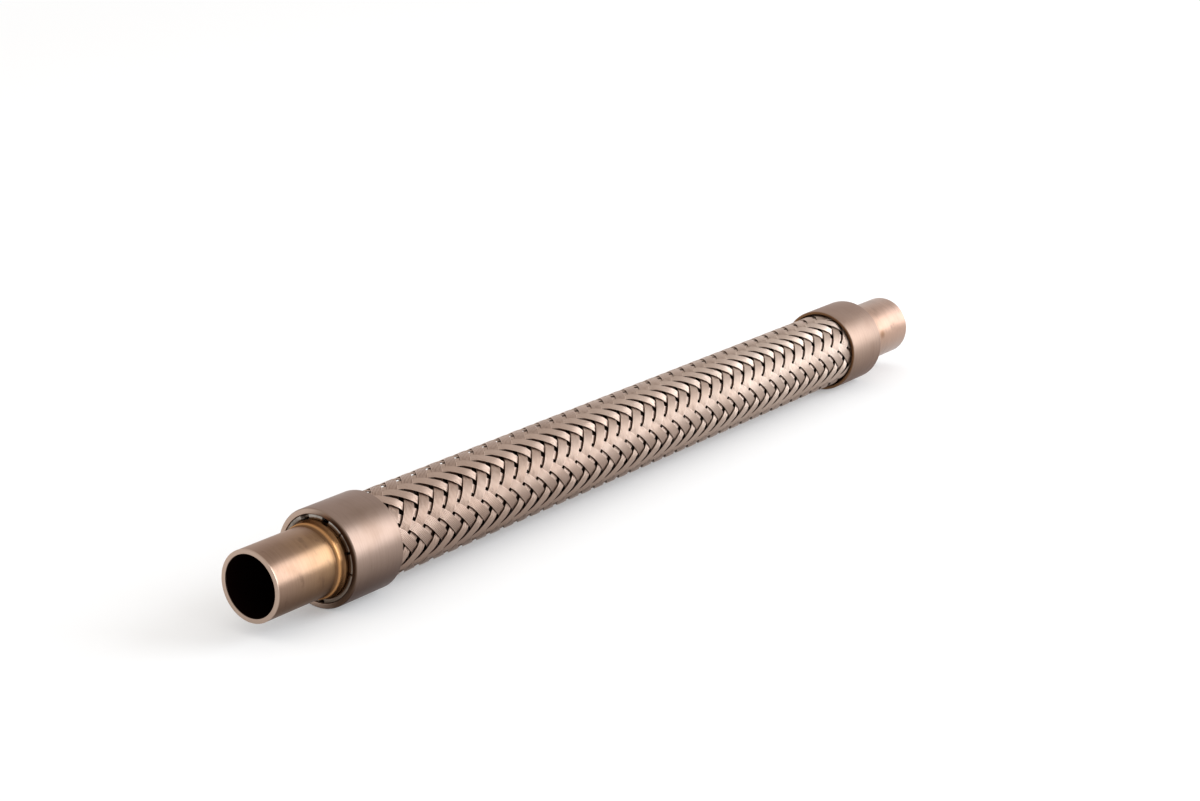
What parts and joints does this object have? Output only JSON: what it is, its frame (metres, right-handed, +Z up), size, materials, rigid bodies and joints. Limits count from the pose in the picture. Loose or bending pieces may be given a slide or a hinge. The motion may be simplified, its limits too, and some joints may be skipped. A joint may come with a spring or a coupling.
{
  "type": "vibration eliminator",
  "caption": "Short flexible metal hose in a woven wire braid, with a ferrule and a plain solder tube at each end, that keeps compressor vibration out of refrigerant pipework.",
  "frame": {"origin": "on the floor under the middle of the part, where it lies on its two ferrules", "axes": "X along the hose with the left end at -X, Z up"},
  "size_m": [0.244, 0.0204, 0.0205],
  "materials": {
    "bronze_tube": "satin, finely brushed round the tube",
    "bronze_ferrule": "satin, rosy",
    "gold_braze": "smooth braze, golden",
    "silver_braze": "smooth braze, silvery",
    "bronze_hose": "satin, dark inside the bore",
    "braid_wire": "satin drawn wire"
  },
  "bodies": {
    "root": {"left_tube": "bronze_tube", "right_tube": "bronze_tube", "left_ferrule": "bronze_ferrule", "right_ferrule": "bronze_ferrule", "left_braze_bead": "gold_braze", "right_braze_bead": "gold_braze", "left_braze_ring": "silver_braze", "right_braze_ring": "silver_braze", "corrugated_hose": "bronze_hose", "wire_braid": "braid_wire"}
  },
  "joints": []
}
